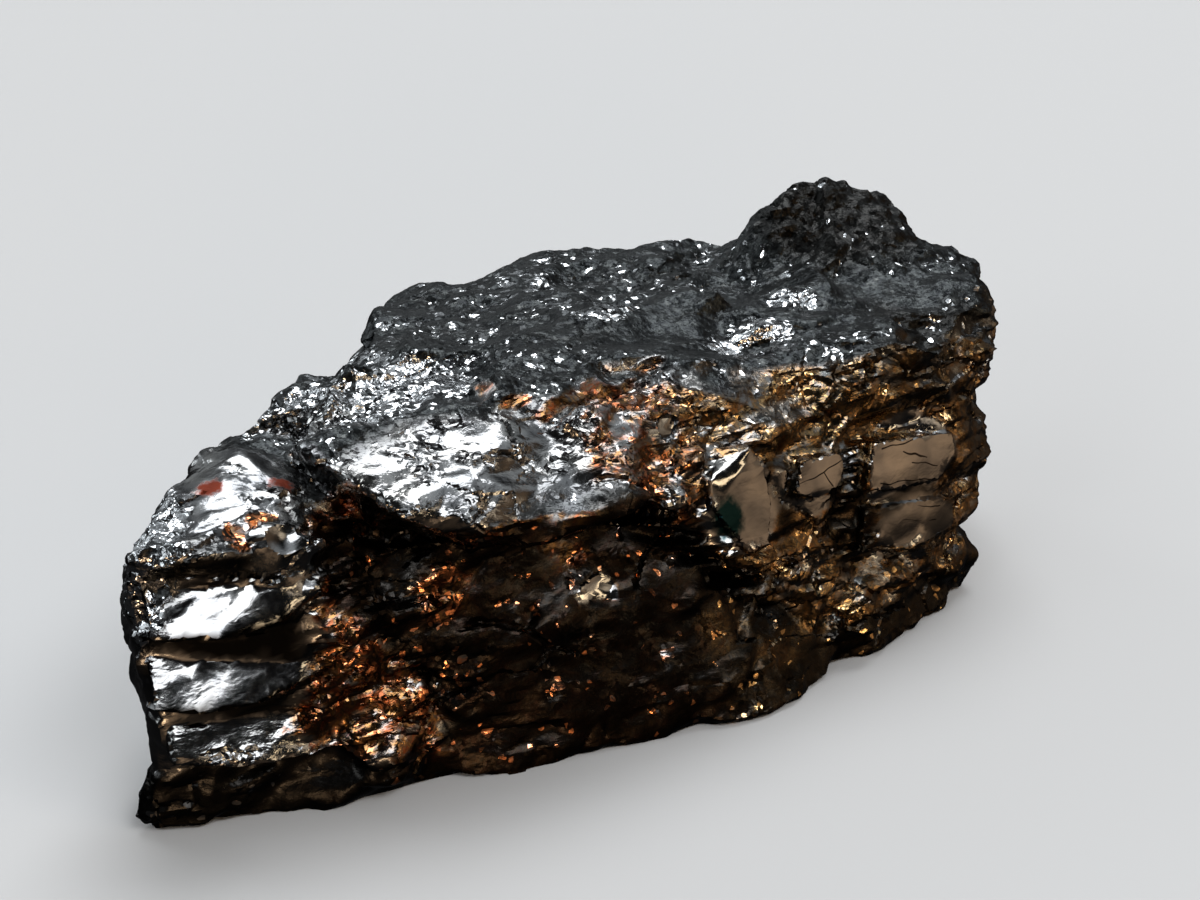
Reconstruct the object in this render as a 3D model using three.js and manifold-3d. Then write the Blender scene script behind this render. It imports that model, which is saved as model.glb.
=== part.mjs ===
// A shungite rock: one natural lump of black, glassy shungite, broken along its layers.
// Millimetres, +Z up. X runs along the rock, -Y is its broken front, and it rests on Z = 0.
import * as THREE from "three";
import { ConvexGeometry } from "three/addons/geometries/ConvexGeometry.js";
import { ImprovedNoise } from "three/addons/math/ImprovedNoise.js";
import { mergeVertices } from "three/addons/utils/BufferGeometryUtils.js";
import Module from "manifold-3d";

const SURFACE = { color: 0x17181a, roughness: 0.22, metalness: 0.85 };
const FLAT = 0; // the underside is worn flat at this Z
const BLOCK = { width: 100, height: 20 }; // the block cut away to wear it flat
const WELD = 1e-3; // corners this close together are one corner

// The rock is fused from convex fragments. Each is listed by its corners, [x, y, z].
const FRAGMENTS = {
  // the back and middle, under the sloping top
  core: [
    [-16, -5, 17.2], [-3, -6, 16.8], [6.5, -5.6, 16.4], [22, -4.3, 15.7], [23.4, 1.4, 15.3],
    [21.2, 7, 15.3], [9.5, 9.8, 16.2], [6.3, 9.6, 15.6], [-0.6, 10.8, 15.9], [-9.5, 8.1, 15.8],
    [-13.6, 1.2, 16.4], [-9, 12, 7], [8, 12.6, 8.5], [21, 9.5, 8], [23.8, 2, 7], [20.5, 5, 0.8],
    [5, 9.5, -0.2], [-9, 8, 0.4], [-17, 3, 6], [-15, -9, -0.2], [17, -7, -0.2],
  ],
  // the swell of the top towards its right end
  swell: [
    [8.6, 8.6, 16], [11.5, -1.8, 16.4], [22.6, -3.4, 15.9], [23.6, 1.4, 16], [21.8, 5, 16.6],
    [19, 8.6, 17], [12.6, 9, 17.1], [14.5, 3.4, 17.5], [20.2, 2.6, 17.4], [12, 10.4, 11],
    [22, 8, 11], [23.5, 1, 10], [14, -2, 10],
  ],
  // the hump on that swell
  hump: [
    [12.2, 7.4, 17.9], [14.1, 6.6, 20], [16.2, 6.8, 20.1], [18, 6.6, 20], [20, 6, 19], [21.4, 4.4, 17.9],
    [14.6, 2.6, 17.6], [19.6, 2, 17.6], [22.2, 3.4, 16.4], [17.4, 9.2, 17.2], [12.4, 8.8, 16.2],
    [20.4, 7.6, 17.4], [12.4, 4.4, 16.8],
  ],
  // the steep face at the right of the front
  rightFace: [
    [-2.6, -12.6, 12.3], [9.9, -12.8, -0.2], [19.6, -7.9, -0.2], [22.1, -4.6, 15.8], [6.5, -5.9, 16.5],
    [-3, -6.3, 16.9], [21.1, -6, 9], [13.5, -9, 8.6], [20, 0, 1], [8, 0, 0.5], [0, -3, 9],
  ],
  // the band that overhangs the middle of the front
  band: [
    [-19.2, -4.4, 17], [-18.4, -9.4, 16.6], [-16, -13, 15.4], [-13, -14, 14.2], [-9.5, -13.9, 12.1],
    [-7, -13.4, 12.7], [-2.4, -12.9, 12.5], [-3, -6, 17], [-18.4, -4, 11.4], [-2, -4, 9.6],
    [-16.4, -9.6, 12.6], [-5, -9.6, 10.4],
  ],
  // the sunk panel below the band
  panel: [
    [-18.6, -11, 12.8], [-12, -9.4, 12.4], [-3, -9.2, 12], [3.2, -10.7, 6], [9, -13.2, 0.1], [-17, -12.4, 4],
    [4, -14.2, 1.8], [-17, -14, -0.2], [-1, -15, 0.3], [5.5, -15.1, -0.2], [-15, -4, -0.2], [5, -4, -0.2],
    [-15, -4, 12],
  ],
  // the stepped block at the left of the front
  steps: [
    [-28.7, -12.2, 13.4], [-23, -12.8, 13.4], [-18.4, -13, 12.6], [-13.8, -13.6, 3], [-27.7, -13, 6],
    [-27.8, -12.8, 0.4], [-24, -13.4, -0.2], [-15, -14.2, -0.2], [-28.5, -8.6, 13.4], [-27, -7.8, 1.5],
    [-16, -5, 0], [-18, -5, 13],
  ],
  // the bright shoulder on top of the left end
  shoulder: [
    [-28.8, -11, 15.4], [-28.6, -12.6, 14.6], [-25.8, -13.5, 15.3], [-21.8, -13.5, 13.9],
    [-19.2, -12.6, 14.6], [-18.8, -4, 16.7], [-23.6, -5.2, 16.2], [-26.4, -8.6, 16], [-27.6, -9.2, 11],
    [-19, -12, 12], [-18.8, -3, 11], [-24.4, -5.2, 9], [-27.8, -12.2, 12],
  ],
  // the left end behind the steps
  leftEnd: [
    [-27.4, -9, 13.6], [-23.2, -5, 15.8], [-19.2, -1.8, 16.1], [-15.6, 0.5, 16.5], [-27.4, -8.6, 2],
    [-22, -2, 1.2], [-14, 4, 3], [-12, -6, 1], [-14, -6, 15.6],
  ],
  // the spur that the left corner stands on
  spur: [
    [-29, -12.2, 0.9], [-28.9, -12.9, 0.8], [-28.7, -12.2, 0], [-28.7, -12.9, 0], [-28.3, -12, 3],
    [-28.3, -13, 3.4], [-27.2, -10, 3.4], [-27, -11, 0], [-25, -13, 0], [-26, -9.6, 0],
  ],
};

// Three ledges that stand out from the stepped block, each wider at its lower edge, listed the same way.
const LEDGES = {
  top: [
    [-28, -12.4, 13.9], [-22.4, -12.6, 13.2], [-27.9, -14.4, 11.8], [-25, -14.7, 11.3], [-22.2, -14.2, 11.1],
    [-19.4, -13, 12], [-27.6, -12.2, 10.4], [-20, -12.4, 10], [-27, -10, 12], [-20, -10, 12],
  ],
  middle: [
    [-27.9, -12.8, 9.8], [-23.4, -12.9, 9.2], [-28.1, -14.3, 7.9], [-26, -14.7, 7.4], [-23.4, -14.5, 7.2],
    [-18.6, -13.2, 7.8], [-27.4, -12.2, 6.6], [-20, -12.4, 6], [-27, -10, 8], [-20, -10, 8],
  ],
  bottom: [
    [-27.2, -12.9, 6.5], [-22.4, -13, 5.9], [-27.4, -14.1, 4.8], [-24.6, -14.6, 4], [-21.4, -14.4, 3.5],
    [-15.4, -13.8, 2.9], [-27, -12.4, 3.6], [-15.6, -12.4, 2], [-27, -10, 5], [-15, -10, 4],
  ],
};

// Flat, mirror-like plates of the right face, by the corners of their faces. They stand a little proud.
const PLATES = [
  [
    [2.3, -10.3, 13.6], [3.9, -10.2, 13.4], [4.6, -10.5, 12.4], [4.9, -11, 10.5], [4.4, -11.7, 8.3],
    [3.2, -12, 8.4], [1.2, -11.8, 11.2], [0.8, -11.5, 12.6],
  ],
  [
    [6.9, -10, 12], [9.6, -9.3, 11.8], [10, -9.4, 10.9], [9.5, -9.9, 9.8], [7.8, -10.4, 9.6],
    [6.2, -10.7, 10.4],
  ],
  [
    [11.8, -8.7, 11.5], [14.4, -8, 11.1], [17.5, -7.4, 10.3], [17.7, -7.7, 9], [16.4, -8.3, 8.1],
    [13.1, -9.2, 8.6], [11.2, -9.6, 9.2],
  ],
  [[11, -9.9, 8.2], [14.1, -9.1, 7.5], [18, -8, 6.7], [17.5, -8.6, 4.8], [13.4, -9.9, 5.3], [10.4, -10.8, 6]],
  [[9.1, -11.9, 3.3], [11, -11.3, 3.5], [12.5, -11.1, 2.2], [10.8, -11.9, 1.5], [9, -12.3, 2.1]],
];
const PLATE_OUT = new THREE.Vector3(0.28, -0.92, 0.27);
const PLATE_PROUD = 0.4;
const PLATE_DEPTH = 2;

// Notches that undercut the front, listed the same way.
const NOTCHES = {
  underBandLeft: [
    [-17.4, -15, 13], [-9.6, -15, 11.7], [-17.6, -15, 11.9], [-9.6, -15, 10.5], [-16.8, -8.8, 12.9],
    [-9.6, -8.2, 11.8],
  ],
  underBandRight: [
    [-10, -15, 11.7], [-2.2, -15, 11.7], [-10, -15, 10.5], [-3, -15, 10.6], [-9.6, -8.2, 11.8],
    [-3.4, -9.4, 11.6],
  ],
  underShoulder: [
    [-29.4, -14.8, 14.9], [-19.6, -14.8, 13.1], [-29.4, -14.8, 14.1], [-19.6, -14.8, 12.1],
    [-28, -12.2, 14.4], [-20, -11.6, 12.9],
  ],
  underTopLedge: [
    [-28.8, -15.2, 11.8], [-21, -15.2, 10.9], [-28.8, -15.2, 9.9], [-21.4, -15.2, 9.5], [-27.6, -12.6, 10.9],
    [-21.6, -12.6, 10.2],
  ],
  underMiddleLedge: [
    [-28.6, -15.2, 7.8], [-22.4, -15.2, 7.1], [-28.6, -15.2, 6.8], [-22.8, -15.2, 6.1], [-27, -12.9, 7.2],
    [-23, -12.9, 6.7],
  ],
};

// Cracks of the front, as paths seen from the front, [x, z].
const CRACKS = [
  { path: [[-19.6, 18], [-19, 15.6], [-19.3, 13]], width: 1.2, depth: 1.8 }, // shoulder from band
  { path: [[-19, 13], [-18, 10.6], [-16.4, 7.2], [-14, 3]], width: 1.2, depth: 1.3 }, // steps from panel
  { path: [[-3, 12], [0.7, 9.6], [3.3, 6.6], [6.3, 4.1], [9.7, 0]], width: 1.1, depth: 1.2 }, // beside panel
  { path: [[10.9, 12.2], [10.4, 9.5], [9.9, 5.6]], width: 0.9, depth: 1 }, // upright, between plates
  { path: [[0.8, 14.2], [6.7, 13], [12, 12.4], [22, 10.6]], width: 0.9, depth: 0.8 }, // over plates
  { path: [[3.8, 6.6], [7, 5.6], [10.4, 4.7], [15, 4], [20, 3.2]], width: 1, depth: 0.9 }, // under plates
];
const FRONT = -3; // cracks reach back to this Y
const CRACK_BEND = { size: 4.5, shift: 0.8 }; // how a crack wanders off its path

// Round these centres the surface stays smoother. Keep is the share of the relief that is left, and the
// full relief comes back over the outer part of the radius.
const SMOOTH = [
  { centre: [-25.5, -13, 9], radius: 7, keep: 0.25 }, // stepped block
  { centre: [-24, -11, 15.4], radius: 4, keep: 0.6 }, // shoulder
  { centre: [-12, -11.5, 15.6], radius: 5, keep: 0.6 }, // band
  { centre: [3.1, -11.1, 11], radius: 4, keep: 0.2 }, // plates
  { centre: [8.4, -10, 10.6], radius: 3, keep: 0.2 },
  { centre: [14.3, -8.9, 8], radius: 5, keep: 0.2 },
  { centre: [23, -1, 8], radius: 9, keep: 0.6 }, // right end
  { centre: [-6, -12.5, 6], radius: 10, keep: 0.35 }, // panel
  { centre: [-28.5, -12.5, 1.5], radius: 2.4, keep: 0.15 }, // spur
];
const SMOOTH_CORE = 0.6;

// The fused body is broken along rays that run in, from all round, to a line inside it.
// A ray that points along X meets the line at its end, and one that points across X at its middle.
const RAYS = { from: [-20, -7, 8], to: [16, 1.5, 8.5], reach: [27, 26, 22], detail: 20 };

// The relief has chips, layers and lumps. A chip is flat, long along the layers and thin across them.
const CHIP = { size: new THREE.Vector3(6.6, 4, 3), depth: 0.45, tilt: 0.22, seed: 52 };
const LAYER = { pitch: 2.9, depth: 0.65, warp: 2.4, reach: 12 };
const LUMP = { size: 2.6, depth: 0.45 };
const UNDERSIDE = { facing: -0.7, keep: 0.5 }; // faces that point down this much keep this share of relief

const wasm = await Module();
wasm.setup();

// A closed geometry as a manifold-3d solid.
function solidFrom(geometry) {
  const bare = new THREE.BufferGeometry().setAttribute("position", geometry.getAttribute("position"));
  if (geometry.index) bare.setIndex(geometry.index);
  const merged = mergeVertices(bare, WELD);
  return new wasm.Manifold(
    new wasm.Mesh({
      numProp: 3,
      vertProperties: merged.attributes.position.array,
      triVerts: new Uint32Array(merged.index.array),
    }),
  );
}

function geometryFrom(solid) {
  const mesh = solid.getMesh();
  return new THREE.BufferGeometry()
    .setAttribute("position", new THREE.BufferAttribute(new Float32Array(mesh.vertProperties), 3))
    .setIndex(new THREE.BufferAttribute(new Uint32Array(mesh.triVerts), 1));
}

function convex(corners) {
  return solidFrom(new ConvexGeometry(corners.map((corner) => new THREE.Vector3(...corner))));
}

function plate(corners) {
  const face = corners.map((corner) => new THREE.Vector3(...corner));
  const front = face.map((corner) => corner.clone().addScaledVector(PLATE_OUT, PLATE_PROUD));
  const back = face.map((corner) => corner.clone().addScaledVector(PLATE_OUT, -PLATE_DEPTH));
  return solidFrom(new ConvexGeometry([...front, ...back]));
}

// A repeatable number from 0 to 1 for a cell of whole coordinates.
function random(cell, salt) {
  const wave = Math.sin(cell.x * 127.1 + cell.y * 311.7 + cell.z * 74.7 + salt * 53.3) * 43758.5453;
  return wave - Math.floor(wave);
}

function randomVector(cell, salt) {
  return new THREE.Vector3(random(cell, salt), random(cell, salt + 1), random(cell, salt + 2));
}

function chips(point) {
  const place = point.clone().divide(CHIP.size);
  const home = place.clone().floor();
  let nearest = Infinity;
  let height = 0;
  for (let i = 0; i < 27; i++) {
    const cell = new THREE.Vector3((i % 3) - 1, (Math.floor(i / 3) % 3) - 1, Math.floor(i / 9) - 1).add(home);
    const seed = cell.clone().add(randomVector(cell, CHIP.seed));
    const distance = seed.distanceTo(place);
    if (distance >= nearest) continue;
    nearest = distance;
    const tilt = randomVector(cell, CHIP.seed + 3).subScalar(0.5).multiplyScalar(2 * CHIP.tilt);
    const across = place.clone().sub(seed).multiply(CHIP.size);
    height = CHIP.depth * (2 * random(cell, CHIP.seed + 6) - 1) + tilt.dot(across);
  }
  return height;
}

const perlin = new ImprovedNoise();

function wander(point, size) {
  return perlin.noise(point.x / size, point.y / size, point.z / size);
}

// Each layer juts out at its lower edge and slopes back to the one above. Level faces show none.
function layers(point, steepness) {
  const bed = (point.z + LAYER.warp * wander(point, LAYER.reach)) / LAYER.pitch;
  const up = bed - Math.floor(bed);
  return LAYER.depth * (0.5 - up) * steepness;
}

function distanceToPath(x, z, path) {
  const point = new THREE.Vector3(x, 0, z);
  const corners = path.map(([cornerX, cornerZ]) => new THREE.Vector3(cornerX, 0, cornerZ));
  const nearest = new THREE.Vector3();
  const distances = corners.slice(1).map((corner, i) => {
    new THREE.Line3(corners[i], corner).closestPointToPoint(point, true, nearest);
    return nearest.distanceTo(point);
  });
  return Math.min(...distances);
}

function cracks(point) {
  if (point.y > FRONT) return 0;
  const shift = CRACK_BEND.shift * wander(point, CRACK_BEND.size);
  const depths = CRACKS.map(({ path, width, depth }) => {
    const distance = distanceToPath(point.x + shift, point.z + shift, path);
    return depth * Math.max(0, 1 - distance / width);
  });
  return -Math.max(...depths);
}

function smoothness(point) {
  const kept = SMOOTH.map(({ centre, radius, keep }) => {
    const distance = point.distanceTo(new THREE.Vector3(...centre));
    const share = THREE.MathUtils.smoothstep(distance, SMOOTH_CORE * radius, radius);
    return THREE.MathUtils.lerp(keep, 1, share);
  });
  return Math.min(...kept);
}

function relief(point, normal) {
  const steepness = 1 - Math.abs(normal.z);
  const rough = chips(point) + layers(point, steepness) + LUMP.depth * wander(point, LUMP.size);
  const kept = normal.z < UNDERSIDE.facing ? UNDERSIDE.keep : smoothness(point);
  return rough * kept + cracks(point);
}

// Breaks the fused body up: each ray stops where it meets the body, give or take the relief there.
function breakUp(solid) {
  const body = new THREE.Mesh(geometryFrom(solid), new THREE.MeshBasicMaterial());
  const ball = new THREE.IcosahedronGeometry(1, RAYS.detail).deleteAttribute("normal").deleteAttribute("uv");
  const broken = mergeVertices(ball);
  const places = broken.getAttribute("position");
  const line = new THREE.Line3(new THREE.Vector3(...RAYS.from), new THREE.Vector3(...RAYS.to));
  const reach = new THREE.Vector3(...RAYS.reach);
  const caster = new THREE.Raycaster();
  for (let i = 0; i < places.count; i++) {
    const direction = new THREE.Vector3().fromBufferAttribute(places, i);
    const end = line.at((direction.x + 1) / 2, new THREE.Vector3());
    const start = direction.multiply(reach).add(end);
    const inward = end.sub(start).normalize();
    caster.set(start, inward);
    const [hit] = caster.intersectObject(body);
    const place = hit.point.clone().addScaledVector(inward, -relief(hit.point, hit.face.normal));
    places.setXYZ(i, place.x, place.y, place.z);
  }
  return solidFrom(broken);
}

// Wears the underside flat, and sets the middle of the rock's box over the origin.
function stand(solid) {
  const block = new THREE.BoxGeometry(BLOCK.width, BLOCK.width, BLOCK.height);
  block.translate(0, 0, FLAT - BLOCK.height / 2);
  const worn = geometryFrom(solid.subtract(solidFrom(block)));
  worn.computeBoundingBox();
  const middle = worn.boundingBox.getCenter(new THREE.Vector3());
  return worn.translate(-middle.x, -middle.y, -worn.boundingBox.min.z);
}

const fused = wasm.Manifold.union(Object.values(FRAGMENTS).map(convex));
const broken = breakUp(fused);
const joined = wasm.Manifold.union([broken, ...Object.values(LEDGES).map(convex), ...PLATES.map(plate)]);
const cut = wasm.Manifold.difference([joined, ...Object.values(NOTCHES).map(convex)]);
const whole = cut.decompose().reduce((big, next) => (next.volume() > big.volume() ? next : big));

const rock = new THREE.Mesh(stand(whole), new THREE.MeshStandardMaterial(SURFACE));
rock.name = "shungite_rock";

const part = new THREE.Group();
part.add(rock);
export default part;
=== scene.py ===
import itertools
import math
from types import SimpleNamespace

import bmesh
import bpy
import numpy as np
from mathutils import Euler, Matrix, Vector
from mathutils.bvhtree import BVHTree


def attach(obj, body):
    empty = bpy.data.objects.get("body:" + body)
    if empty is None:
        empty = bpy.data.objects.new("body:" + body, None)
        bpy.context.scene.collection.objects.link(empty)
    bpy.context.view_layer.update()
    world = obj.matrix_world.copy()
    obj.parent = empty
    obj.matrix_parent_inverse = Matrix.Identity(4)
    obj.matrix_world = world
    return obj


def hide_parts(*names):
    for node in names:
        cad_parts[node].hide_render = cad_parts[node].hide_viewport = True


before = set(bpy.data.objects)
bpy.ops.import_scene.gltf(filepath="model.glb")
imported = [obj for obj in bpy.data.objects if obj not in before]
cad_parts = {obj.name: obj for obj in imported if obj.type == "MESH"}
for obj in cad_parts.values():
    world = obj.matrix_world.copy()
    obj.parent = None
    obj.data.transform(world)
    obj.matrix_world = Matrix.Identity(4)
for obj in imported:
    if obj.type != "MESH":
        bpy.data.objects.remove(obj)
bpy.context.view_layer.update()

# The CAD solid gets a fine mesh with the small forms of its break, and one procedural material.
NODE = "shungite_rock"
MM = 0.001
# Places and sizes are in millimetres, up to the lamps. Places are in the rock's own coordinates, as in the
# part's source, and MIDDLE is where the frame's zero is in them.
MIDDLE = np.array([-2.327, -1.088, 0.0])
VOXEL = 0.185
MOST_TRIANGLES = 196000
scene = bpy.context.scene


# ---------------------------------------------------------------- noise
# what the numbers' bits are mixed with
PRIMES = np.array((73856093, 19349663, 83492791), np.uint64)
SEED_PRIME, GOLDEN, MIX_1, MIX_2 = 2654435761, 0x9E3779B9, 0x85EBCA6B, 0xC2B2AE35
LOW_BITS = np.uint64(0xFFFFFFFF)


def numbers(cells, seed, count):
    """Repeatable numbers from 0 to 1, count of them for each whole-number cell."""
    x, y, z = (cells.astype(np.int64).astype(np.uint64) * PRIMES).T
    key = x ^ y ^ z ^ np.uint64(seed * SEED_PRIME % 2**32)
    out = np.empty((len(cells), count))
    for i in range(count):
        bits = (key + np.uint64(i * GOLDEN)) & LOW_BITS
        bits = ((bits ^ (bits >> np.uint64(16))) * np.uint64(MIX_1)) & LOW_BITS
        bits = ((bits ^ (bits >> np.uint64(13))) * np.uint64(MIX_2)) & LOW_BITS
        out[:, i] = (bits ^ (bits >> np.uint64(16))).astype(float) / 2**32
    return out


def wander(points, size, seed):
    """Smooth noise from about -1 to 1, with bumps about size across."""
    place = points / np.asarray(size, float)
    home = np.floor(place)
    part = place - home
    ease = part * part * part * (part * (part * 6 - 15) + 10)
    total = np.zeros(len(points))
    for corner in itertools.product((0, 1), repeat=3):
        corner = np.array(corner)
        share = np.prod(np.where(corner == 1, ease, 1 - ease), axis=1)
        slope = 2 * numbers(home + corner, seed, 3) - 1
        total += share * ((part - corner) * slope).sum(1)
    return 1.6 * total


def cloud(points, size, seed, octaves):
    """wander, with finer and finer bumps on it."""
    return sum(wander(points, np.asarray(size, float) / 2**i, seed + i) / 2**i for i in range(octaves))


def seeds_near(points, size, seed):
    """For each of the 27 cells round a point: the way to it from the cell's seed, and the seed's luck."""
    place = points / np.asarray(size, float)
    home = np.floor(place)
    for offset in itertools.product((-1, 0, 1), repeat=3):
        cell = home + offset
        luck = numbers(cell, seed, 4)
        yield place - cell - luck[:, :3], luck[:, 3]


def dishes(points, size, seed, uneven=0.5):
    """Shell-like dishes that meet at sharp ridges: 0 in a dish's middle, up to about 1 on the ridges."""
    lowest = np.full(len(points), np.inf)
    for away, luck in seeds_near(points, size, seed):
        lowest = np.minimum(lowest, (away * away).sum(1) + uneven * luck)
    return lowest


def steps(points, size, seed):
    """Level chips with steps between them, from -1 to 1."""
    nearest = np.full(len(points), np.inf)
    height = np.zeros(len(points))
    for away, luck in seeds_near(points, size, seed):
        far = (away * away).sum(1)
        height = np.where(far < nearest, 2 * luck - 1, height)
        nearest = np.minimum(far, nearest)
    return height


def creases(points, size, seed):
    """How far a place is from the nearest crease of a net of them, as a share of a mesh of the net."""
    first = np.full(len(points), np.inf)
    second = first
    for away, _ in seeds_near(points, size, seed):
        far = np.sqrt((away * away).sum(1))
        second = np.minimum(second, np.maximum(first, far))
        first = np.minimum(first, far)
    return second - first


def facets(points, size, seed):
    """Flat facets that meet at sharp edges, from -1 to 1 high and about size across."""
    turn = np.array(Euler((0.6 + seed, 0.4, 0.3 * seed)).to_matrix())  # each layer lies its own way
    place = points @ turn.T / np.asarray(size, float)
    home = np.floor(place)
    part = place - home
    order = np.argsort(-part, axis=1)
    share = np.take_along_axis(part, order, axis=1)
    corner = home.copy()
    height = (1 - share[:, 0]) * (2 * numbers(corner, seed, 1)[:, 0] - 1)
    rows = np.arange(len(points))
    for i in range(3):
        corner[rows, order[:, i]] += 1
        beyond = share[:, i + 1] if i < 2 else 0
        height += (share[:, i] - beyond) * (2 * numbers(corner, seed, 1)[:, 0] - 1)
    return height


def beds(height, thickness=0.85, rise=0.3):
    """Beds one above the other: each rises from 0 to 1 over its lowest part, and falls back slowly."""
    place = height / thickness
    part = place - np.floor(place)
    return np.minimum(part / rise, (1 - part) / (1 - rise))


def ramp(value, low, high):
    """0 below low and 1 above high, with a smooth rise between them."""
    t = np.clip((value - low) / (high - low), 0, 1)
    return t * t * (3 - 2 * t)


# ---------------------------------------------------------------- fine mesh
def as_modified(name, mesh, *modifiers):
    """The mesh as the modifiers leave it, each given by its kind and its settings."""
    holder = bpy.data.objects.new(name, mesh)
    scene.collection.objects.link(holder)
    for kind, settings in modifiers:
        modifier = holder.modifiers.new(kind, kind)
        for setting, value in settings.items():
            setattr(modifier, setting, value)
    result = bpy.data.meshes.new_from_object(holder.evaluated_get(bpy.context.evaluated_depsgraph_get()))
    bpy.data.objects.remove(holder)
    return result


def fine_mesh():
    """The solid's surface as an even fine mesh, in millimetres, with the solid's own edges kept."""
    bm = bmesh.new()
    bm.from_mesh(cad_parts[NODE].data)
    bmesh.ops.remove_doubles(bm, verts=bm.verts, dist=1e-7)
    bm.transform(Matrix.Scale(1 / MM, 4))
    bmesh.ops.triangulate(bm, faces=bm.faces)
    tree = BVHTree.FromBMesh(bm)
    coarse = bpy.data.meshes.new("coarse")
    bm.to_mesh(coarse)
    bm.free()
    mesh = as_modified("coarse", coarse, ("REMESH", dict(mode="VOXEL", voxel_size=VOXEL, adaptivity=0)))
    places = np.array([tree.find_nearest(v.co)[0] for v in mesh.vertices])
    return mesh, places


def thinned(mesh):
    """The mesh as triangles, with fewer of them where it is flat."""
    ratio = MOST_TRIANGLES / (2 * len(mesh.polygons))
    return as_modified("thinned", mesh, ("TRIANGULATE", dict(quad_method="SHORTEST_DIAGONAL")),
                       ("DECIMATE", dict(ratio=ratio)))


def move(mesh, places):
    mesh.vertices.foreach_set("co", places.astype(np.float32).ravel())
    mesh.update()


class Net:
    """The fine mesh's edges, for averages over each point's neighbours."""

    def __init__(self, mesh):
        edges = np.zeros(len(mesh.edges) * 2, np.int32)
        mesh.edges.foreach_get("vertices", edges)
        self.a, self.b = edges.reshape(-1, 2).T
        self.count = len(mesh.vertices)
        self.neighbours = sum(np.bincount(ends, minlength=self.count) for ends in (self.a, self.b))

    def sums(self, values):
        """The sum of each point's neighbours' values, for values with three columns."""
        total = np.empty_like(values)
        for axis in range(3):
            total[:, axis] = np.bincount(self.a, values[self.b, axis], self.count)
            total[:, axis] += np.bincount(self.b, values[self.a, axis], self.count)
        return total

    def relaxed(self, places, share, rounds):
        """The places with small faces worn away and the large shape kept, by each point's share."""
        for step in (0.5, -0.52) * rounds:
            away = self.sums(places) / self.neighbours[:, None] - places
            places = places + step * share[:, None] * away
        return places


def soft_normals(mesh, places, net, rounds):
    """The normals of the mesh with its points at these places, averaged over their neighbours."""
    move(mesh, places)
    normals = np.zeros(len(mesh.vertices) * 3, np.float32)
    mesh.vertices.foreach_get("normal", normals)
    normals = normals.reshape(-1, 3).astype(float)
    for _ in range(rounds):
        normals = normals + net.sums(normals)
        normals /= np.linalg.norm(normals, axis=1)[:, None]
    return normals


def strayed(points, size, seed, reach):
    """The points, each moved up to about reach, so that what is laid out by them is bent and ragged."""
    return points + reach * np.stack([wander(points, size, seed + i) for i in range(3)], axis=1)


mesh, places = fine_mesh()
net = Net(mesh)
normals = soft_normals(mesh, places, net, rounds=6)
raw = places + MIDDLE
up = normals[:, 2]
steep = 1 - np.abs(up)
bent = strayed(raw, 2.5, 90, 0.5)  # what the forms of the break are laid out by
edged = strayed(raw, 2.8, 80, 0.9)  # what the parts' borders are laid out by


# ---------------------------------------------------------------- how the surface is broken, part by part
# In millimetres: the depth of the dishes, of the long flows along X, of the beds, the chips' steps, the
# grain, the wide facets, the facets and the splinters. As shares: how far the solid's small faces are
# worn away, film, gloss, dullness, sparkle, painted shade that darkens the colour, and how golden the film
# is.
patchy = ramp(wander(raw, 6, 31), -0.3, 0.35)
bronzed = ramp(raw[:, 0] - 0.35 * (raw[:, 2] - 8), -18, -13) * ramp(-raw[:, 1], 1, 6)
look = dict(
    dish=0.16, flow=0, bed=0.14, step=0.08, grain=0.02, wide=0.3, facet=0.12 + 0.12 * patchy,
    splinter=0.03 + 0.06 * patchy, worn=0.7, film=0.4 * patchy + (0.95 - 0.4 * patchy) * bronzed,
    gloss=0, dull=0, sparkle=0.35, soot=0, gold=ramp(edged[:, 0], -2, 3),
)
TOP = dict(dish=0.10, bed=0, step=0.06, grain=0.10, wide=0.2, facet=0.2, splinter=0.10, worn=0.4, film=0,
           dull=1, sparkle=0.45)
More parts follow.
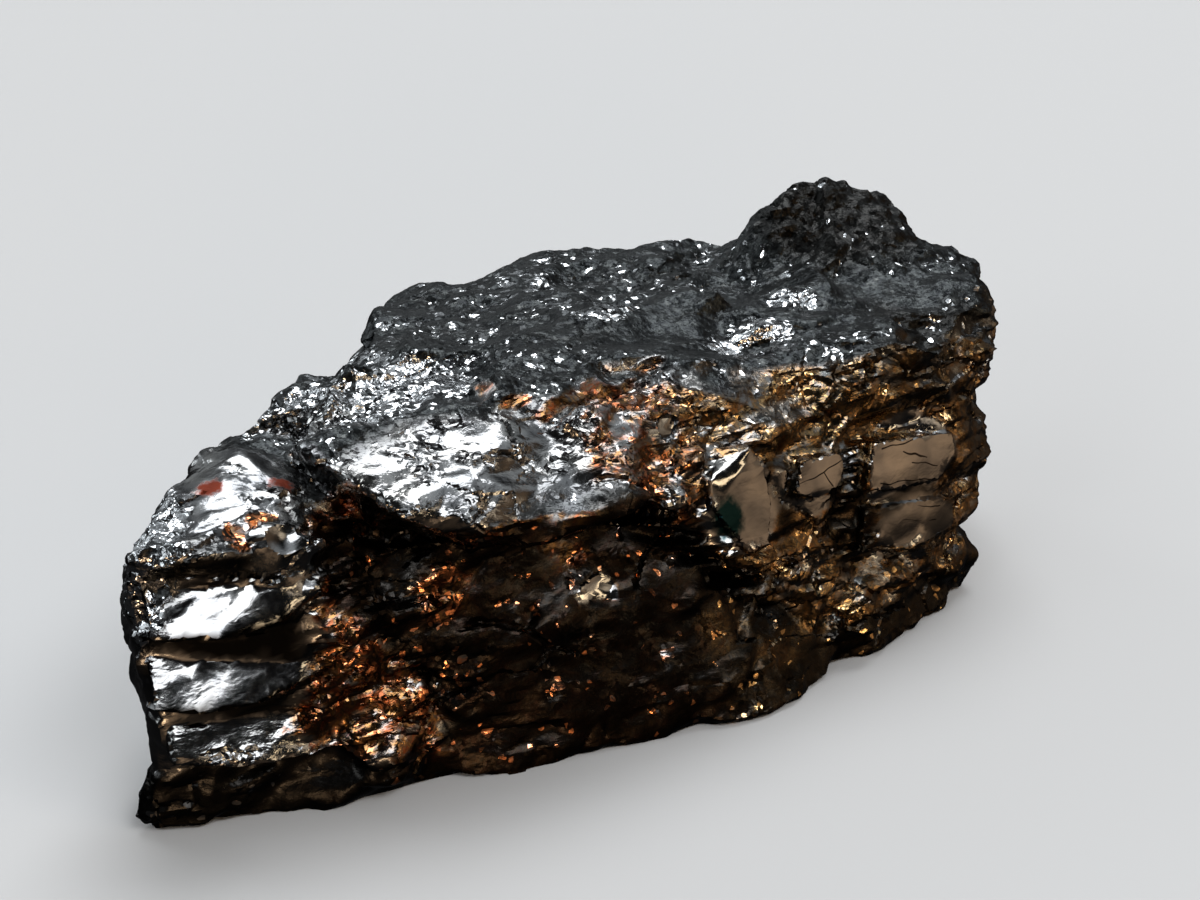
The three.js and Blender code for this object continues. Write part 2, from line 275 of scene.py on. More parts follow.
# Ellipsoids are a centre and the reach along X, Y and Z, in millimetres.
STEPPED_BLOCK = (-24.2, -13.6, 9.5), (5.6, 3, 5.6)
PARTS = [  # (ellipsoids, what changes there)
    # calm front of the top
    ([((8, -2, 16.6), (16, 4.5, 2))],
     dict(dish=0.05, step=0, grain=0.02, wide=0.12, facet=0.06, splinter=0.03, worn=1, film=0.05,
          sparkle=0.1)),
    # coarse left part of the top
    ([((-14, -3.5, 16.6), (8, 4, 2.5))],
     dict(dish=0.12, step=0.08, grain=0.12, wide=0.3, facet=0.3, splinter=0.16, worn=0.3, sparkle=0.9)),
    # hump, darkened with painted shade
    ([((17, 5, 18.5), (7, 6, 3.5))],
     dict(dish=0.06, step=0.08, grain=0.24, wide=0.3, facet=0.35, splinter=0.16, worn=0.2, film=0, dull=1,
          sparkle=0.16, soot=0.7)),
    # sunk panel
    ([((-6, -12, 6), (12, 5, 7.5))],
     dict(dish=0.08, bed=0.08, step=0.03, grain=0.01, wide=0.2, facet=0.10, splinter=0.05, worn=1,
          film=0.8, sparkle=0.35)),
    # bronze part of the band, with a little painted shade
    ([((-1, -10, 14.5), (6.5, 5, 3.4))],
     dict(dish=0.10, step=0.12, wide=0.35, facet=0.22, splinter=0.12, worn=0.7, film=0.75, dull=0,
          sparkle=0.6, soot=0.1)),
    # beds over the plates
    ([((12, -7, 14), (14, 6, 3.6))],
     dict(dish=0.05, bed=0.35, step=0.14, grain=0.01, wide=0.35, facet=0.16, splinter=0.08, worn=1,
          film=0.85, sparkle=0.5)),
    # beds at the right end, darkened with painted shade
    ([((17, -5.5, 14.2), (7, 5, 2.6)), ((20.5, -5, 9), (3, 6, 8))],
     dict(bed=0.3, facet=0.14, splinter=0.03, film=0.75, sparkle=0.4, soot=0.6)),
    # lumps under the plates, with some painted shade
    ([((13, -10, 5), (12, 6, 5))],
     dict(dish=0.08, bed=0.10, step=0.14, grain=0.01, wide=0.4, facet=0.26, splinter=0.12, worn=0.8,
          film=0.8, dull=0, sparkle=0.55, soot=0.2)),
    # facets between the plates
    ([((10, -9.5, 10), (12, 5, 5))],
     dict(dish=0.03, bed=0.06, step=0.12, grain=0, wide=0.25, facet=0.10, splinter=0.04, worn=1,
          film=0.95, dull=0, sparkle=0.5)),
    # band
    ([((-11, -11, 15.5), (8, 5, 2.8))],
     dict(dish=0.04, flow=0.12, bed=0, step=0.05, grain=0.02, wide=0.14, facet=0.10, splinter=0.05,
          worn=1, film=0, gloss=0, dull=0, sparkle=0.5)),
    # shoulder
    ([((-23, -9.5, 15.9), (5, 5, 2.6))],
     dict(dish=0.06, flow=0.08, bed=0, step=0.08, grain=0.02, wide=0.25, facet=0.2, splinter=0.06,
          worn=0.6, film=0, gloss=0.2, dull=0, sparkle=0.3)),
    # craggy upper left end
    ([((-26.8, -8, 14.6), (2.8, 7, 3.2)), ((-28, -12, 12.6), (1.3, 2.5, 3.4))],
     dict(dish=0.12, step=0.08, wide=0.35, facet=0.4, splinter=0.12, worn=0.4, film=0, gloss=0, dull=1,
          sparkle=1)),
    # recess beside the band
    ([((-17.3, -11, 12.5), (2.4, 4, 3.4))],
     dict(dish=0.12, facet=0.35, splinter=0.14, film=0.9, gloss=0, dull=0, sparkle=0.6)),
    # wedge beside the steps
    ([((-18.6, -13, 7), (4.6, 4, 5.8))],
     dict(dish=0.12, bed=0, step=0.08, wide=0.35, facet=0.35, splinter=0.14, film=0.9, gloss=0,
          sparkle=0.55)),
    ([STEPPED_BLOCK],
     dict(dish=0.03, bed=0, step=0.02, grain=0.01, wide=0.04, facet=0.03, splinter=0.01, worn=0, film=0,
          gloss=0.85, sparkle=0)),
    # glassy left end
    ([((-27.8, -10, 7), (1.6, 4, 5))],
     dict(dish=0.12, bed=0, step=0.04, facet=0.14, splinter=0.07, film=0, gloss=0.4, sparkle=0.6)),
    # undercut underside of the left end, darkened with painted shade
    ([((-22, -12.5, 1.4), (7.5, 4, 2.6))],
     dict(dish=0.12, bed=0, step=0.06, facet=0.2, splinter=0.1, film=0.3, gloss=0, sparkle=0.4, soot=0.6)),
]
# The sunk panel's borders: the right one as its height at x = 0 and its fall along X, the left one as a
# place on it, X and Z, and its fall along X.
PANEL_TOP = 13.4
PANEL_RIGHT, RIGHT_FALL = 10.3, 1.09
PANEL_LEFT, LEFT_FALL = (-18.8, 11), 1.8
FOOT_HEIGHT = ((-26, -16, -8, 2, 8), (3.6, 2.4, 1.2, 1.6, 2.6))  # places along X, and the height there
UNDER_SHOULDER = (-23.4, -13.2, 14.5), (4.2, 2.2, 1)
# glittering places on the top, the last one along its front edge
GLITTERING = [
    ((-1, 6, 16.5), (3, 3.2, 2.6)), ((0.6, 0.6, 17.4), (4, 2.6, 2.6)),
    ((-12.2, 2, 16.2), (2.6, 3.2, 2.6)), ((11, -1, 16.6), (2.5, 2.2, 2.6)),
    ((-9.8, -3.8, 16.8), (3.5, 1.9, 2.6)), ((6.5, -3, 15.9), (8.5, 1.9, 2)),
]
# glinting places in the panel, with lighter painted shade than the rest of it
GLINT_REACH = (2.2, 3, 1.2)
GLINTING = [
    ((-13, -12.4, 9.4), dict(film=1, sparkle=0.75, soot=0.5)),
    ((-6, -12.4, 10), dict(film=1, sparkle=0.6, soot=0.5)),
    ((2, -12.8, 4.5), dict(film=1, sparkle=0.45, soot=0.85)),
    ((5, -13.6, 2.4), dict(film=1, sparkle=0.5, soot=0.8)),
]
# The flat plates from left to right, the lowest one last, and the way they look.
PLATES = [
    ((3.1, -11.1, 11), (3.2, 3, 3.6)), ((8.2, -10, 10.8), (3.2, 2.5, 2.6)),
    ((14.4, -8.7, 10.1), (4.8, 2.5, 2.8)), ((14, -9.2, 6.5), (4.8, 2.5, 2.4)),
]
PLATES_FACE = np.array((0.26, -0.93, 0.27))
PLATE_GAPS = [((6, -10.6, 10.4), (1.6, 2.5, 3)), ((10.7, -9.8, 8.4), (1.6, 2.5, 4.5))]
LOWER_PLATE_EDGE = (14.3, -9.3, 7.95), (4, 2, 0.6)
SMOOTH = dict(dish=0.06, bed=0, step=0, grain=0, wide=0.08, facet=0.02, splinter=0, worn=0, film=0.12,
              gloss=1, dull=0, sparkle=0)
# copper glints at the front of the shoulder, and the shell-like scoop beside them
COPPER = [((-22.2, -12.6, 15), (1.3, 1.2, 0.9)), ((-21.2, -11.4, 15.2), (0.9, 0.7, 0.7))]
SCOOP = (-20.6, -12.6, 14.7), (1.3, 1.3, 1.2)
SCOOP_MIDDLE, SCOOP_RADIUS = np.array((-20.4, -13.9, 16)), 2.25
# small bare facets in and beside the panel
CHIPS = [
    ((-4.8, -12, 7.6), (0.9, 1.5, 0.6)), ((-1.5, -11.2, 10.6), (0.9, 1.5, 0.9)),
    ((-1, -12.3, 12.2), (0.7, 1.5, 0.7)), ((-0.2, -9.5, 14.5), (0.8, 1.2, 0.6)),
]


def within(centre, reach, fade=0.6):
    """1 in the middle of an ellipsoid with a ragged edge, 0 outside it."""
    away = (edged - np.array(centre)) / np.asarray(reach, float)
    return ramp(-np.sqrt((away * away).sum(1)), -1, -fade)


def within_any(ellipsoids, fade=0.6):
    """1 in the middle of each of these ellipsoids, 0 outside them all."""
    return np.max([within(*ellipsoid, fade) for ellipsoid in ellipsoids], axis=0)


def lay_over(weight, **values):
    """Change the look towards these values, fully where the weight is 1."""
    for name, value in values.items():
        look[name] = look[name] + weight * (value - look[name])


lay_over(ramp(up, 0.68, 0.88), **TOP)  # wherever the surface looks up
for ellipsoids, values in PARTS:
    lay_over(within_any(ellipsoids), **values)

# Painted shade makes the panel between its borders and the foot of the front nearly black, and the
# undersides of the stepped block's ledges and of the shoulder too.
x, z = edged[:, 0], edged[:, 2]
inside_right = (PANEL_RIGHT - RIGHT_FALL * x - z) / 1.5  # about square to the border
inside_left = x - PANEL_LEFT[0] - (PANEL_LEFT[1] - z) / LEFT_FALL
panel = np.minimum.reduce([inside_right, inside_left, PANEL_TOP - z])
foot = np.interp(x, *FOOT_HEIGHT) - z
lay_over(ramp(np.maximum(panel, foot), -0.3, 0.5) * ramp(-raw[:, 1], 6, 8), soot=0.96, sparkle=0.35)
lay_over(within(*STEPPED_BLOCK) * ramp(-up, -0.4, -0.2), soot=0.97)
lay_over(within(*UNDER_SHOULDER) * ramp(-up, -0.6, -0.3), film=0, soot=0.9, sparkle=0.1)
# There is no film on the top, back from its front edge, and parts of the top glitter.
top = ramp(up, 0.15, 0.4) * ramp(edged[:, 1], -5.6, -4.6) * ramp(raw[:, 0], -18, -15)
lay_over(top * ramp(raw[:, 2], 12.5, 14), film=0, dull=1)
glitter = within_any(GLITTERING, 0) * (1 + cloud(raw, 2.2, 33, 2))
lay_over(ramp(glitter, 0.25, 0.7) * look["dull"], facet=0.25, splinter=0.14, sparkle=0.96)
for centre, values in GLINTING:
    lay_over(within(centre, GLINT_REACH), **values)
# The plates are only where the surface faces the way they look, and painted shade darkens the lowest one.
plate = np.array([within(*ellipsoid) for ellipsoid in PLATES])
facing = normals @ PLATES_FACE
plate[0] *= ramp(facing, 0.6, 0.75)
plate[1:] *= ramp(facing, 0.78, 0.92)
lay_over(plate.max(0), **SMOOTH)
lay_over(plate[3], soot=0.3)
# Painted shade darkens the gaps beside the plates, and a line between the two right ones.
gap = within_any(PLATE_GAPS) * np.maximum(1 - plate.max(0), ramp(-facing, -0.96, -0.86))
lay_over(gap, facet=0.03, splinter=0, worn=1, soot=0.95, sparkle=0)
lay_over(within(*LOWER_PLATE_EDGE), soot=0.85)
for ellipsoid in COPPER:
    lay_over(within(*ellipsoid), facet=0.2, film=1, gloss=0, dull=0, sparkle=1, soot=0)
lay_over(within(*SCOOP, 0.85) * ramp(raw[:, 2], 14, 14.3),
         facet=0.03, splinter=0, film=0, gloss=0.7, dull=0, sparkle=0, soot=0)
for chip in CHIPS:
    lay_over(within(*chip, 0.85), **SMOOTH)
    lay_over(within(*chip, 0.85), film=0, soot=0)

# The relief is what is added along the normals, in millimetres.
relief = look["dish"] * (dishes(bent, [3.0, 2.4, 1.8], 1) - 0.5)
relief += look["flow"] * (dishes(bent, [5.5, 1.7, 1.2], 21) - 0.5)
bed = beds(bent[:, 2] + 0.5 * wander(raw, [9, 9, 4], 5))
relief += look["bed"] * steep * (bed - 0.5) * ramp(wander(raw, [4, 4, 2], 6), -0.4, 0.2)
relief += look["step"] * steps(bent, [4.6, 3.4, 1.8], 41)
relief += look["wide"] * facets(bent, [4.2, 3.4, 2.6], 10)
relief += look["facet"] * facets(bent, [2.0, 1.6, 1.2], 11)
relief += look["splinter"] * facets(bent, [0.9, 0.8, 0.6], 12)
relief += look["grain"] * cloud(raw, 0.9, 7, 2)
CREASE_DEPTH = 0.22
crease = ramp(-creases(edged, [9, 6, 5], 61), -0.05, 0) * (1 - ramp(look["gloss"], 0.3, 0.8))
crease *= ramp(wander(raw, 4, 62), -0.15, 0.25) * (1 - 0.6 * look["dull"])
relief -= CREASE_DEPTH * crease
# Painted shade darkens the creases too.
look["soot"] = np.maximum(look["soot"], 0.8 * crease)

# The left plate leans back above a line through a place given as X and Z, so that it catches the light.
LEANING = (2.6, -10.9, 12.4), (2.2, 2.4, 2.6)
LINE_X, LINE_Z, LINE_RISE = 2.2, 11.9, 0.9
LEAN_BACK = 0.17
above_line = raw[:, 2] - LINE_Z - LINE_RISE * (raw[:, 0] - LINE_X)
relief -= LEAN_BACK * within(*LEANING, 0.8) * np.maximum(above_line, 0)

# Points inside the scoop's sphere go out to it, and none goes below the floor.
WEAR_ROUNDS = 20
places = net.relaxed(places, look["worn"], WEAR_ROUNDS) + normals * relief[:, None]
away = places + MIDDLE - SCOOP_MIDDLE
far = np.linalg.norm(away, axis=1)
places += np.maximum(SCOOP_RADIUS / far - 1, 0)[:, None] * away
places[:, 2] = np.maximum(places[:, 2], 0)
move(mesh, places * MM)
KEPT = ("film", "gloss", "dull", "sparkle", "soot", "gold")  # what the material reads from the mesh
for name in KEPT:
    mesh.attributes.new(name, "FLOAT", "POINT").data.foreach_set("value", look[name].astype(np.float32))

mesh = thinned(mesh)
mesh.name = "shungite_fine"
mesh.shade_smooth()
mesh.set_sharp_from_angle(angle=math.radians(20))
rock = bpy.data.objects.new("shungite", mesh)
scene.collection.objects.link(rock)


# ---------------------------------------------------------------- material
HALF = (0.5, 0.5, 0.5)


class Nodes:
    """A material's nodes, made in one call each. A socket given as an input is linked."""

    def __init__(self, material):
        material.use_nodes = True
        self.tree = material.node_tree
        self.shader = self.tree.nodes["Principled BSDF"]

    def make(self, kind, out=0, settings=None, **inputs):
        """One output of a new node. Its inputs are given by name, or by number as i0, i1 and so on."""
        node = self.tree.nodes.new("ShaderNode" + kind)
        for name, value in (settings or {}).items():
            setattr(node, name, value)
        for name, value in inputs.items():
            key = int(name[1:]) if name[1:].isdigit() else name
            self.fill(node.inputs[key], value)
        return node.outputs[out]

    def fill(self, socket, value):
        if isinstance(value, bpy.types.NodeSocket):
            self.tree.links.new(value, socket)
        else:
            socket.default_value = value

    def math(self, operation, a, b=0.0):
        return self.make("Math", settings={"operation": operation}, i0=a, i1=b)

    def product(self, first, *others):
        for other in others:
            first = self.math("MULTIPLY", first, other)
        return first

    def sum(self, first, *others):
        for other in others:
            first = self.math("ADD", first, other)
        return first

    def rest(self, share):
        return self.math("SUBTRACT", 1.0, share)

    def vector(self, operation, a, b=(0, 0, 0), out=0):
        return self.make("VectorMath", out, {"operation": operation}, i0=a, i1=b)

    def scaled(self, a, factor):
        return self.make("VectorMath", 0, {"operation": "SCALE"}, i0=a, Scale=factor)

    def attribute(self, name):
        return self.make("Attribute", "Fac", {"attribute_name": name})

    def noise(self, place, size, detail, roughness=0.5, out="Fac"):
        return self.make("TexNoise", out, Vector=place, Scale=1 / size, Detail=detail, Roughness=roughness)

    def ramp(self, value, low, high):
        settings = {"interpolation_type": "SMOOTHSTEP"}
        return self.make("MapRange", "Result", settings, i0=value, i1=low, i2=high)

    def mix(self, share, a, b):
        """From colour a to colour b."""
        return self.make("Mix", 2, {"data_type": "RGBA"}, i0=share, i6=a, i7=b)

    def between(self, share, a, b):
        """From number a to number b."""
        return self.make("Mix", 0, {"data_type": "FLOAT"}, i0=share, i2=a, i3=b)

    def colours(self, value, stops):
        node = self.tree.nodes.new("ShaderNodeValToRGB")
        ramp = node.color_ramp
        while len(ramp.elements) < len(stops):
            ramp.elements.new(0.5)
        for element, (place, colour) in zip(ramp.elements, stops):
            element.position = place
            element.color = (*colour, 1)
        self.fill(node.inputs[0], value)
        return node.outputs[0]

    def cracks(self, place, ends):
        """How far a place is from the nearest of these straight cracks, each given by its two ends."""
        nearest = None
        for start, end in ends:
            start, run = Vector(start), Vector(end) - Vector(start)
            away = self.vector("SUBTRACT", place, start)
            share = self.vector("DOT_PRODUCT", away, run / run.length_squared, "Value")
            share = self.make("Clamp", Value=share)
            far = self.vector("SUBTRACT", away, self.scaled(run, share))
            far = self.vector("LENGTH", far, out="Value")
            nearest = self.math("MINIMUM", nearest, far) if nearest else far
        return nearest

    def cells(self, place, size):
        """A net of small facets: a vector for the way each leans, and a number from 0 to 1 for each."""
        colour = self.make("TexVoronoi", "Color", Vector=place, Scale=1 / size)
        luck = self.make("TexWhiteNoise", "Value", Vector=self.scaled(colour, 997))
        return self.vector("SUBTRACT", colour, HALF), luck


# Colours of the glass, the dull top and the films, by place on a noise from 0 to 1.
GLASS = [(0.3, (0.120, 0.123, 0.128)), (0.5, (0.18, 0.18, 0.18)), (0.7, (0.235, 0.23, 0.22))]
DULL_TOP = [(0.3, (0.015, 0.017, 0.018)), (0.6, (0.034, 0.037, 0.037)), (0.75, (0.065, 0.068, 0.066))]
COPPERS = [
    (0.30, (0.070, 0.027, 0.017)), (0.42, (0.155, 0.048, 0.018)), (0.50, (0.085, 0.052, 0.034)),
    (0.58, (0.175, 0.088, 0.030)), (0.66, (0.060, 0.050, 0.040)), (0.76, (0.130, 0.052, 0.046)),
]
BRASSES = [
    (0.30, (0.040, 0.028, 0.018)), (0.42, (0.175, 0.096, 0.038)), (0.50, (0.070, 0.056, 0.038)),
    (0.58, (0.210, 0.130, 0.056)), (0.66, (0.050, 0.045, 0.036)), (0.76, (0.150, 0.072, 0.045)),
]
# The black of the grain, and the near-black of the painted shade.
BLACK_GRAIN, PAINTED_SHADE_BLACK = (0.010, 0.011, 0.012, 1), (0.008, 0.007, 0.006, 1)
COPPER_GLINT, BRASS_GLINT = (0.50, 0.19, 0.08, 1), (0.42, 0.27, 0.12, 1)
DULL_GLINT = (0.42, 0.43, 0.44, 1)  # bright facets on the dull top

# The sizes of the small facets that each lean their own way, in millimetres.
COARSE, FINE = 0.55, 0.24

# Fine cracks in the plates, from end to end, drawn as thin dark lines of painted shade.
CRACKS = np.array([
    ((12.53, -9.07, 11.03), (14.8, -8.46, 10.83)), ((13.96, -8.81, 10.5), (15.61, -8.59, 9.63)),
    ((14.6, -8.85, 9.78), (16.36, -8.53, 9.02)), ((12.18, -9.71, 9.31), (16.17, -8.74, 8.36)),
    ((6.7, -10.7, 10.9), (8.54, -10.26, 11.05)), ((8.54, -10.26, 11.05), (9.9, -9.87, 11.3)),
    ((8.6, -10.25, 11), (9.02, -10.31, 10.2)), ((14.6, -9.3, 7.3), (16.4, -9.01, 6.75)),
    ((13.6, -9.8, 6.9), (15.99, -9.25, 6.1)),
])
THROUGH = np.array((1, 0.3, 1))  # a crack goes deeper than it is wide

# Spots: place, stretch, how far the colour and its edge reach, in millimetres, then colour and roughness.
SPOTS = [
    # rust on the shoulder
    ((-23.54, -9.0, 16.04), (1.2, 1, 1), (0.36, 0.72), (0.15, 0.030, 0.016), 0.6),
    ((-20.12, -9.02, 15.5), (1.4, 1, 1), (0.30, 0.64), (0.12, 0.024, 0.013), 0.6),
    # teal film on the left plate
    ((2.2, -12, 10.5), (0.85, 1, 1.2), (0.7, 1.3), (0.007, 0.026, 0.030), 0.25),
]


def laid_out(n):
    """What the material is laid out by: places in millimetres, noises, and the shares kept in the mesh."""
    place = n.scaled(n.make("TexCoord", "Object"), 1 / MM)
    bend = n.vector("SUBTRACT", n.noise(place, 1.2, 1, out="Color"), HALF)
    bent = n.vector("ADD", place, n.scaled(bend, 0.9))
    return SimpleNamespace(
        place=place, bend=bend, bent=bent, flat=n.vector("MULTIPLY", bent, (1, 1, 2.2)),
        hue=n.noise(bent, 0.7, 3, 0.65), speck=n.noise(place, 0.3, 2, 0.6),
        **{name: n.attribute(name) for name in KEPT},
    )


def add_glints(n, on):
    """The small facets: patches where more of them glint, the way each leans, and which ones glint."""
    patch = n.sum(n.noise(on.bent, 2.6, 2, 0.6), n.product(on.sparkle, 0.3))
    on.patch = n.ramp(patch, 0.6, 0.8)
    on.coarse_lean, coarse_luck = n.cells(n.vector("MULTIPLY", on.bent, (1, 1, 1.6)), COARSE)
    on.fine_lean, fine_luck = n.cells(on.bent, FINE)
    share = n.product(on.sparkle, on.sparkle, n.between(on.patch, 0.15, 0.8), n.between(on.dull, 0.7, 1.0))
    coarse_glint = n.math("LESS_THAN", coarse_luck, n.product(share, 0.5))
    on.glint = n.math("MAXIMUM", n.math("LESS_THAN", fine_luck, share), coarse_glint)
    on.matte = n.product(on.dull, n.rest(on.glint))


def add_soot(n, on):
    """Painted shade stays off the glints, and fills the fine cracks as thin dark lines."""
    line = n.vector("MULTIPLY", n.vector("ADD", on.place, n.scaled(on.bend, 0.4)), THROUGH)
    line = n.ramp(n.cracks(line, (CRACKS - MIDDLE) * THROUGH), 0.055, 0.02)
    on.soot = n.math("MAXIMUM", n.product(on.soot, n.rest(on.glint)), line)


def rock_colour(n, on):
    """Black glass and the dull, grainy top, under films of bronze, copper and gold, and under painted
    shade.
    """
    glass = n.colours(n.noise(on.bent, 2.4, 2, 0.6), GLASS)
    bright = n.mix(n.product(on.dull, on.glint), glass, DULL_GLINT)
    grain = n.mix(n.ramp(on.speck, 0.35, 0.62), BLACK_GRAIN, n.colours(on.hue, DULL_TOP))
    bare = n.mix(on.matte, bright, grain)
    patch = n.noise(on.flat, 1.5, 3, 0.65)
    film = n.ramp(n.sum(patch, n.product(on.film, 0.52)), 0.74, 0.96)
    film_colour = n.mix(on.gold, n.colours(on.hue, COPPERS), n.colours(on.hue, BRASSES))
    film_glint = n.mix(on.gold, COPPER_GLINT, BRASS_GLINT)
    film_colour = n.mix(on.glint, film_colour, film_glint)
    colour = n.mix(n.product(film, n.rest(on.dull)), bare, film_colour)
    # painted shade darkens the colour towards near black
    return n.mix(on.soot, colour, PAINTED_SHADE_BLACK)


def rock_roughness(n, on):
    """Mirror-like on the plates, and duller on the top and where shade is painted."""
    worn = n.math("MAXIMUM", on.matte, n.product(on.soot, 0.7))
    roughness = n.between(on.gloss, n.between(worn, 0.14, 0.34), 0.10)
    return n.sum(roughness, n.product(n.math("SUBTRACT", on.speck, 0.5), 0.16))


def rock_normal(n, on):
    """Relief too fine for the mesh: small facets that lean, and bumps in millimetres."""
    loose = n.rest(n.product(on.gloss, 0.97))
    lean = n.vector("ADD", n.scaled(on.coarse_lean, 0.5), n.scaled(on.fine_lean, 0.4))
    glinting = n.between(on.glint, n.between(on.sparkle, 0.3, 1.2), 1.0)
    lean = n.scaled(lean, n.product(n.between(on.dull, on.patch, glinting), loose))
    leaning = n.vector("NORMALIZE", n.vector("ADD", n.make("NewGeometry", "Normal"), lean))
    tiny = n.product(n.noise(on.place, 0.1, 1), 0.004)
    streaks = n.product(n.noise(n.vector("MULTIPLY", on.bent, (0.35, 1, 1)), 0.4, 3, 0.6), 0.03)
    grit = n.product(n.noise(on.place, 0.35, 2, 0.65), 0.06, on.dull)
    wave = n.product(n.noise(on.flat, 1.0, 2), n.between(on.gloss, 0.025, 0.010))
    height = n.sum(n.product(n.sum(tiny, streaks, grit), loose), wave)
    return n.make("Bump", Strength=1.0, Distance=1.0, Height=n.product(height, MM), Normal=leaning)


def shungite_material():
    """The rock's colour, roughness and finest relief, with the spots of rust and teal laid over them."""
    material = bpy.data.materials.new("shungite")
    n = Nodes(material)
    on = laid_out(n)
    add_glints(n, on)
    add_soot(n, on)
    colour, roughness = rock_colour(n, on), rock_roughness(n, on)
    ragged = n.product(n.math("SUBTRACT", on.speck, 0.5), 0.7)
    for centre, stretch, reach, spot_colour, spot_roughness in SPOTS:
        away = n.vector("SUBTRACT", on.place, Vector(np.array(centre) - MIDDLE))
        away = n.vector("DIVIDE", away, stretch)
        outside = n.ramp(n.sum(n.vector("LENGTH", away, out="Value"), ragged), *reach)
        colour = n.mix(outside, (*spot_colour, 1), colour)
        roughness = n.between(outside, spot_roughness, roughness)
    n.fill(n.shader.inputs["Base Color"], colour)
    n.fill(n.shader.inputs["Roughness"], roughness)
    n.fill(n.shader.inputs["Normal"], rock_normal(n, on))
    n.shader.inputs["Metallic"].default_value = 1.0
    return material


mesh.materials.clear()
mesh.materials.append(shungite_material())

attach(rock, "root")
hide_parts(NODE)


# ---------------------------------------------------------------- floor, light and camera
HALF_WAY_UP = Vector((0, 0, 0.009))  # sizes are in metres from here on
DAYLIGHT, COOL = (0.97, 0.98, 1.0), (0.90, 0.96, 1.0)
WARM, AMBER = (1.0, 0.80, 0.58), (1.0, 0.66, 0.40)


def direction(azimuth, elevation):
    """From the rock: azimuth 0 is its front, 90 its right; elevation is above the floor, in degrees."""
    a, e = math.radians(azimuth), math.radians(elevation)
    return Vector((math.sin(a) * math.cos(e), -math.cos(a) * math.cos(e), math.sin(e)))


def put(name, data, outward, place):
    """A lamp or a camera at a place, facing inward."""
    thing = bpy.data.objects.new(name, data)
    thing.location = place
    thing.rotation_mode = "QUATERNION"
    thing.rotation_quaternion = outward.to_track_quat("Z", "Y")
    scene.collection.objects.link(thing)
    return thing


def softbox(name, azimuth, elevation, distance, width, height, radiance, colour):
    lamp = bpy.data.lights.new(name, "AREA")
    lamp.shape = "RECTANGLE"
    lamp.size, lamp.size_y = width, height
    lamp.energy = radiance * width * height * math.pi
    lamp.color = colour
    outward = direction(azimuth, elevation)
    put(name, lamp, outward, outward * distance + HALF_WAY_UP).visible_camera = False


softbox("overhead", 148, 62.5, 2.25, 1.4, 1.1, 6.6, DAYLIGHT)
softbox("front_high", 24, 53, 2.25, 1.25, 0.7, 7.5, DAYLIGHT)
softbox("kicker_right", 42, 17, 2.1, 0.65, 0.22, 6, (1.0, 0.76, 0.48))
softbox("kicker_left", -12, 8, 2.1, 0.5, 0.35, 11, (1.0, 0.68, 0.40))

SKY = (0.018, 0.018, 0.019)
GLOWS = [  # azimuth, elevation, half width and half height in degrees, radiance, colour
    (150, 62, 42, 32, 2.7, COOL),  # round the overhead softbox
    (66, 62, 24, 18, 1.3, COOL),
    (24, 53, 28, 16, 1.2, COOL),  # round the front softbox
    (150, 38, 40, 20, 0.3, COOL),
    (80, 5, 55, 40, 0.3, AMBER),
    (57, -2, 26, 12, 0.8, AMBER),  # what the plates mirror
    (55, 33, 13, 13, 2.2, WARM),
    (58, 15, 18, 12, 0.9, WARM),
    (-6, 4, 32, 24, 1.1, AMBER),
    (-5, -25, 65, 45, 0.16, AMBER),
    (-95, 38, 38, 28, 1.8, COOL),  # for the left end
    (-60, 28, 14, 12, 6, COOL),
    (-148, 28, 14, 12, 5, COOL),
    (-150, 28, 36, 26, 1.0, COOL),  # for the back
    (170, 12, 50, 14, 0.6, COOL),
    (105, 35, 24, 24, 0.8, COOL),  # for the right end
]


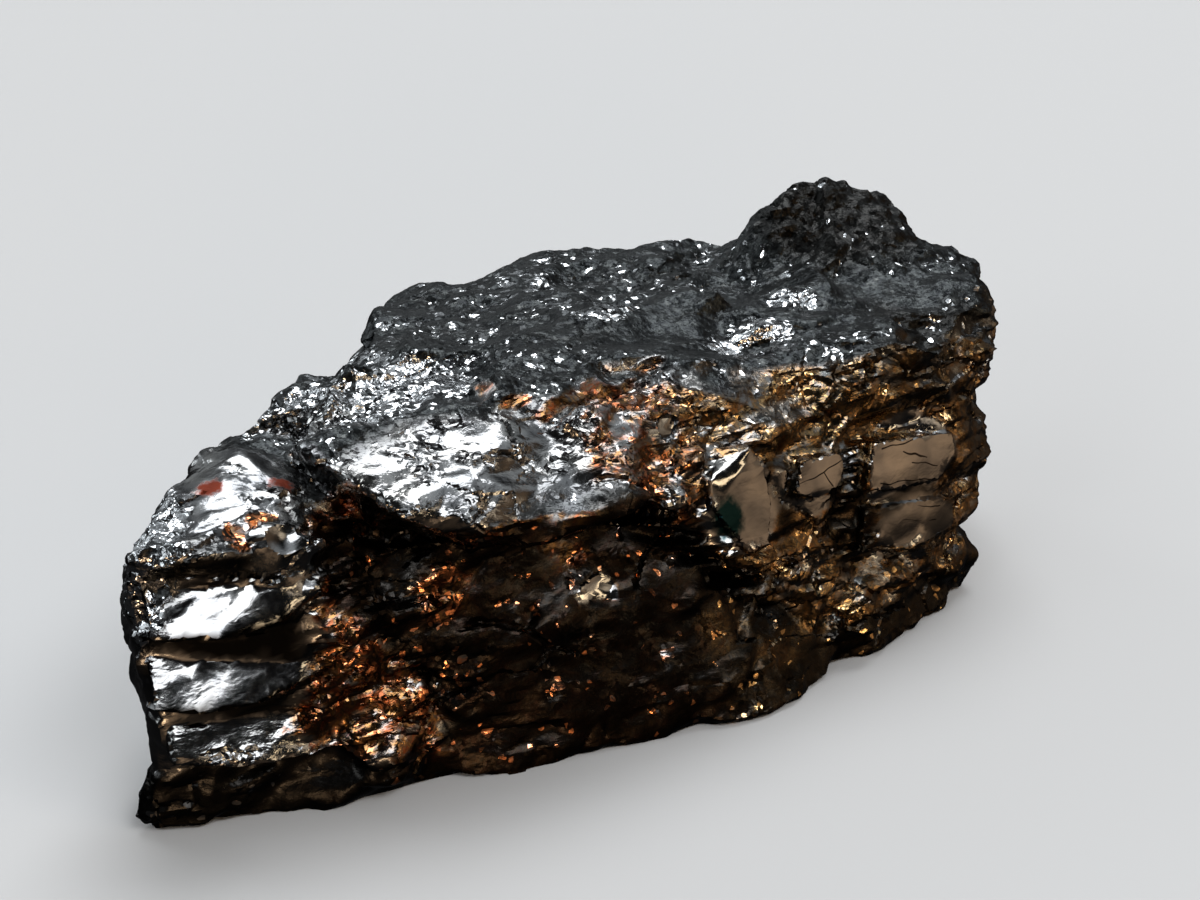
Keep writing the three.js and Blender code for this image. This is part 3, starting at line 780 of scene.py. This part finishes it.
class Sky:
    """Soft glows that the glassy faces mirror, all round the rock."""

    def __init__(self, base):
        self.world = bpy.data.worlds.new("world")
        self.world.use_nodes = True
        self.tree = self.world.node_tree
        self.towards = self.tree.nodes.new("ShaderNodeTexCoord").outputs["Generated"]
        self.light = base

    def node(self, kind, operation, *inputs):
        node = self.tree.nodes.new("ShaderNode" + kind)
        node.operation = operation
        for socket, value in zip(node.inputs, inputs):
            if isinstance(value, bpy.types.NodeSocket):
                self.tree.links.new(value, socket)
            else:
                socket.default_value = value
        return node

    def glow(self, azimuth, elevation, half_width, half_height, radiance, colour):
        """Brightest in the middle, and fades to nothing at the edge."""
        width, height = math.sin(math.radians(half_width)), math.sin(math.radians(half_height))
        mapping = self.tree.nodes.new("ShaderNodeMapping")
        mapping.vector_type = "TEXTURE"
        mapping.inputs["Location"].default_value = direction(azimuth, elevation)
        mapping.inputs["Rotation"].default_value = (-math.radians(elevation), 0, math.radians(azimuth))
        mapping.inputs["Scale"].default_value = (width, 1, height)
        self.tree.links.new(self.towards, mapping.inputs["Vector"])
        place = mapping.outputs[0]
        square = self.node("VectorMath", "DOT_PRODUCT", place, place).outputs["Value"]
        share = self.node("Math", "SUBTRACT", 1.0, square)
        share.use_clamp = True
        share = self.node("Math", "MULTIPLY", share.outputs[0], share.outputs[0])
        light = self.node("VectorMath", "SCALE", [radiance * c for c in colour])
        self.tree.links.new(share.outputs[0], light.inputs["Scale"])
        self.light = self.node("VectorMath", "ADD", self.light, light.outputs[0]).outputs[0]

    def finish(self):
        self.tree.links.new(self.light, self.tree.nodes["Background"].inputs["Color"])
        scene.world = self.world


sky = Sky(SKY)
for glow in GLOWS:
    sky.glow(*glow)
sky.finish()


def floor_material():
    material = bpy.data.materials.new("floor")
    material.use_nodes = True
    shader = material.node_tree.nodes["Principled BSDF"]
    shader.inputs["Base Color"].default_value = (0.46, 0.46, 0.46, 1)
    shader.inputs["Roughness"].default_value = 0.9
    return material


floor_mesh = bpy.data.meshes.new("floor")
bm = bmesh.new()
bmesh.ops.create_grid(bm, x_segments=1, y_segments=1, size=2)
bm.to_mesh(floor_mesh)
bm.free()
floor_mesh.materials.append(floor_material())
floor = bpy.data.objects.new("floor", floor_mesh)
floor.visible_glossy = False
scene.collection.objects.link(floor)

# The photo's viewing angle. The camera aims half way up over the zero of the rock's own coordinates.
CAMERA_AZIMUTH, CAMERA_ELEVATION, CAMERA_AWAY = -22, 28, 0.132
camera = bpy.data.cameras.new("camera")
camera.lens = 72
camera.sensor_width = 36
camera.clip_start = 0.005
outward = direction(CAMERA_AZIMUTH, CAMERA_ELEVATION)
aim = HALF_WAY_UP - Vector(MIDDLE * MM)
scene.camera = put("camera", camera, outward, aim + outward * CAMERA_AWAY)
scene.view_settings.view_transform = "Standard"
